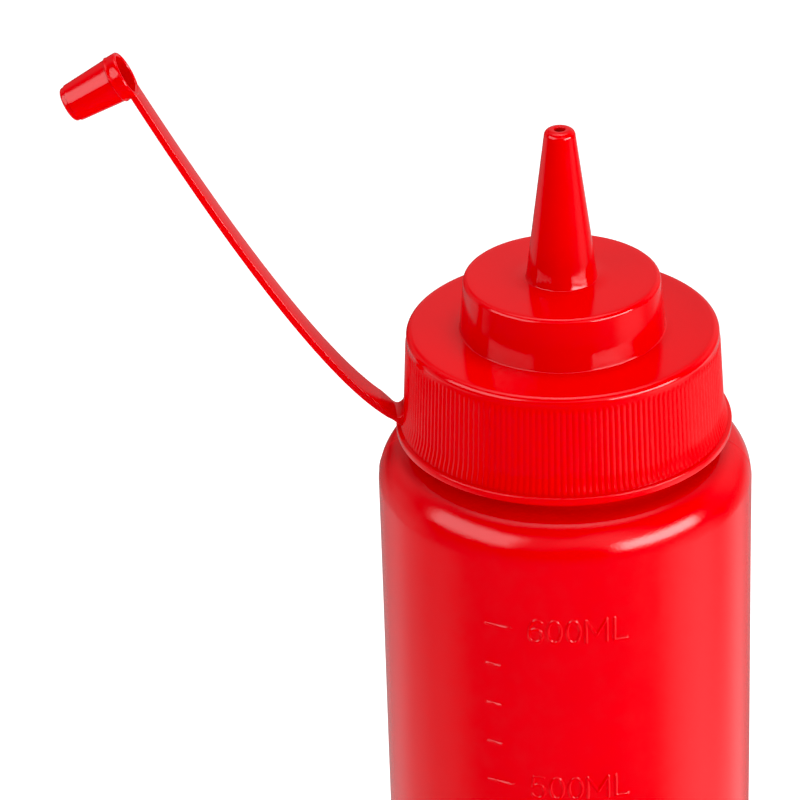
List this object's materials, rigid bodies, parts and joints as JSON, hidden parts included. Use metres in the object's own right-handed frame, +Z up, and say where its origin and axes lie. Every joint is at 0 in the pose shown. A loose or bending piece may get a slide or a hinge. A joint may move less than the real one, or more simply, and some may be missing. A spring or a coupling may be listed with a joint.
{
  "type": "sauce squeeze bottle",
  "caption": "Opaque red round squeeze bottle with a ribbed screw cap, tapered dispensing nozzle and a tip cover held on a moulded strap.",
  "frame": {"origin": "centre of the flat base that the bottle stands on, on the bottle's axis", "axes": "+Z up along the bottle's axis, -Y the front with the moulded scale, -X the side that the tip cover's strap leaves the cap toward"},
  "size_m": [0.1183, 0.0676, 0.2825],
  "materials": {
    "bottle_red": "fine satin, blow-moulded polyethylene",
    "cap_red": "smooth satin gloss, injection-moulded polyethylene"
  },
  "bodies": {
    "root": {"bottle": "bottle_red", "cap": "cap_red"}
  },
  "joints": []
}
